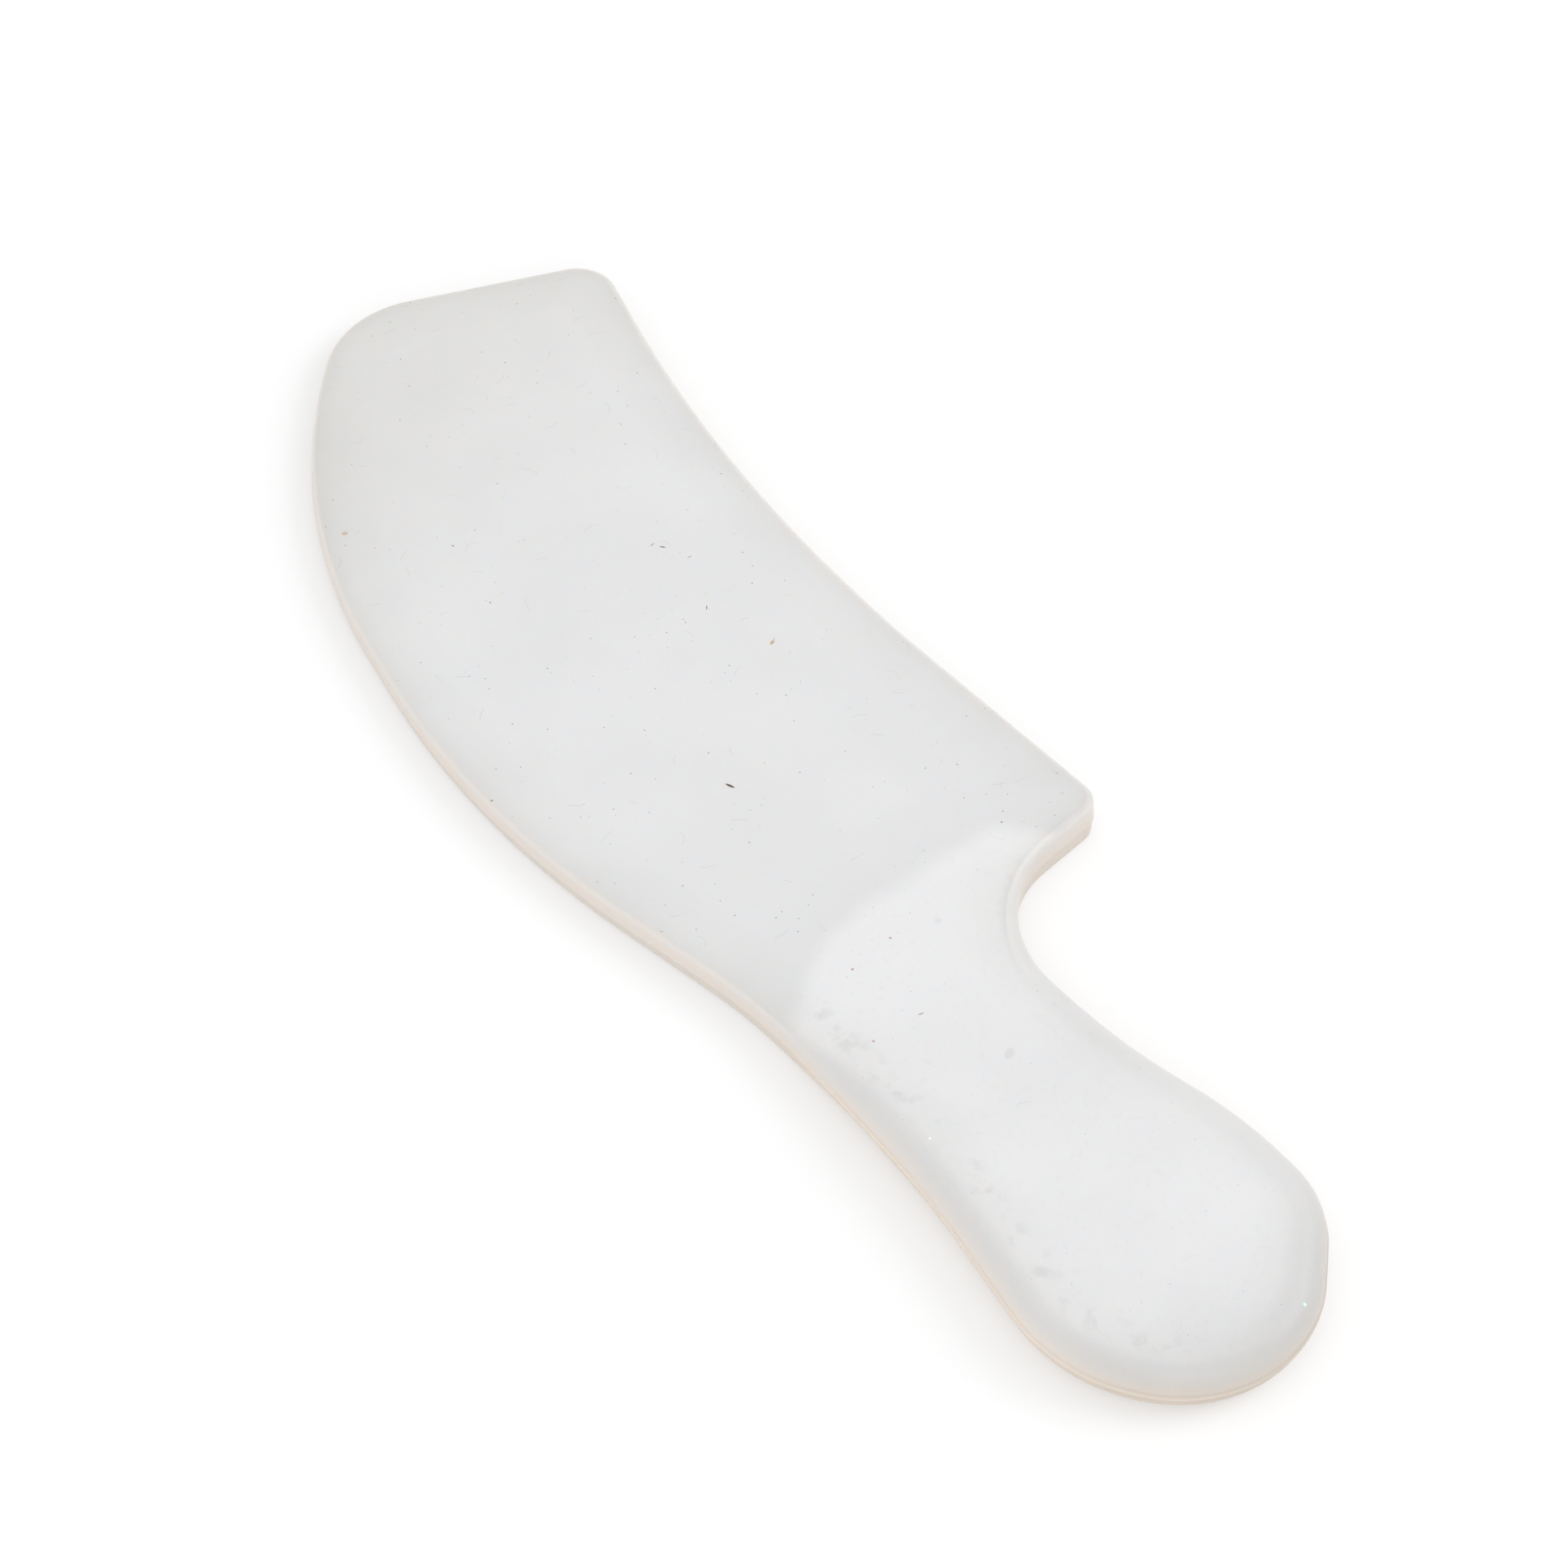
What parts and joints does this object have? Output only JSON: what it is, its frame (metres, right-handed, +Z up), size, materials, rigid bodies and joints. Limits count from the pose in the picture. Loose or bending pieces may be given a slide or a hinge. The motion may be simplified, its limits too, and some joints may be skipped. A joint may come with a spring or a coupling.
{
  "type": "bench scraper",
  "caption": "White silicone scraper with a wide curved blade, a heel with a finger notch and a paddle grip, moulded round a stiff core plate.",
  "frame": {"origin": "centre of the bounding box in X and Y, at the flat underside", "axes": "+X along the length from the toe to the end of the grip, +Y towards the hollow spine, +Z up out of the upper face"},
  "size_m": [0.2508, 0.0841, 0.0092],
  "materials": {
    "white_silicone": "translucent milky white, satin gloss",
    "core_nylon": "natural glass-filled nylon, matt as moulded"
  },
  "bodies": {
    "root": {"silicone_body": "white_silicone", "stiffener_core": "core_nylon"}
  },
  "joints": []
}
